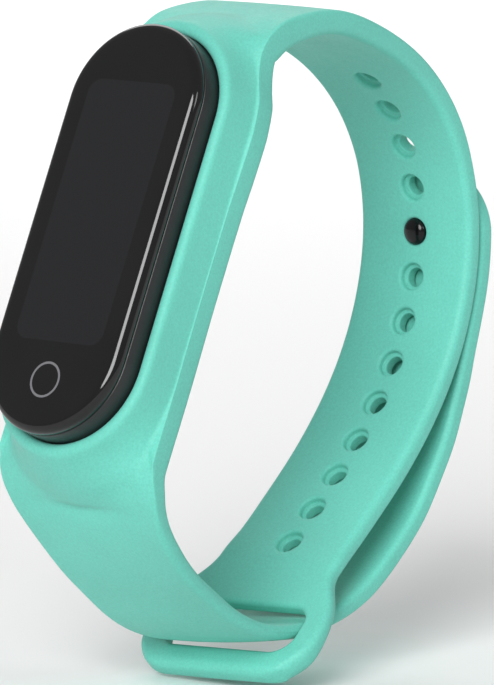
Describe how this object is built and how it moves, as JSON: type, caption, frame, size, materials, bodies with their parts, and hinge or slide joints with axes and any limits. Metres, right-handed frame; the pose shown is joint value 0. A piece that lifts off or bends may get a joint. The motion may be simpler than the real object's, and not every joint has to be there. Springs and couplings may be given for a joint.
{
  "type": "fitness tracker band",
  "caption": "Moulded silicone wrist band with a keeper loop and stud closure, holding a removable capsule activity tracker.",
  "frame": {"origin": "middle of the wrist opening, on the band's centre plane", "axes": "+X along the wrist, -Y towards the display side, +Z towards the top of the loop"},
  "size_m": [0.025, 0.0696, 0.0748],
  "materials": {
    "strap_silicone": "matt moulded silicone, mint teal",
    "stud_black": "polished black",
    "shell_black": "fine satin black polycarbonate",
    "cover_glass": "black-printed cover glass",
    "glue_black": "black adhesive ring",
    "panel_black": "display panel, off",
    "chassis_grey": "glass-filled plastic",
    "flex_amber": "polyimide flex",
    "connector_ivory": "board connector",
    "board_green": "solder mask",
    "chip_black": "moulded chip package",
    "can_metal": "drawn metal can",
    "screw_steel": "plain steel",
    "cell_foil": "pouch cell foil",
    "foam_black": "closed-cell foam",
    "window_clear": "tinted optical window",
    "sensor_dark": "photodiode package",
    "led_clear": "green LED package",
    "contact_gold": "gold-plated contact",
    "seal_rubber": "nitrile ring",
    "antenna_copper": "stamped copper",
    "weight_tungsten": "sintered heavy alloy"
  },
  "bodies": {
    "band": {"cradle": "strap_silicone", "hole_strap": "strap_silicone", "keeper_loop": "strap_silicone", "pin_strap": "strap_silicone", "worn_hole_lip": "strap_silicone", "cradle_lip": "strap_silicone"},
    "tail": {"strap_tail": "strap_silicone", "stud_pin": "stud_black", "stud_cap": "stud_black"},
    "tracker": {"capsule_shell": "shell_black", "display_glass": "cover_glass", "display_glue": "glue_black", "display_panel": "panel_black", "display_chassis": "chassis_grey", "display_flex": "flex_amber", "display_socket": "connector_ivory", "main_board": "board_green", "radio_processor": "chip_black", "flash_memory": "chip_black", "motion_sensor": "chip_black", "charge_controller": "chip_black", "touch_controller": "chip_black", "clock_crystal": "can_metal", "shield_can": "can_metal", "board_screws": "screw_steel", "battery": "cell_foil", "battery_foam": "foam_black", "battery_leads": "flex_amber", "battery_socket": "connector_ivory", "sensor_window": "window_clear", "light_barrier": "foam_black", "photodiode": "sensor_dark", "pulse_leds": "led_clear", "sensor_board": "board_green", "sensor_flex_strip": "flex_amber", "charging_contacts": "contact_gold", "contact_seals": "seal_rubber", "contact_springs": "contact_gold", "antenna": "antenna_copper", "motor_case": "can_metal", "motor_foam": "foam_black"},
    "rotor": {"motor_shaft": "screw_steel", "motor_weight": "weight_tungsten"}
  },
  "joints": [
    {"name": "tail_bend", "type": "hinge", "parent": "band", "child": "tail", "pos_m": [0, 0.0256, -0.0094], "axis": [-1, 0, 0], "range_deg": [0, 70], "deforming": ["worn_hole_lip"]},
    {"name": "capsule_slide", "type": "slide", "parent": "band", "child": "tracker", "axis": [0, -0.9048, 0.4258], "range_m": [0, 0.016], "deforming": ["cradle_lip"]},
    {"name": "rotor_spin", "type": "hinge", "parent": "tracker", "child": "rotor", "pos_m": [0, -0.02835, -0.00416], "axis": [1, 0, 0], "continuous": true}
  ]
}
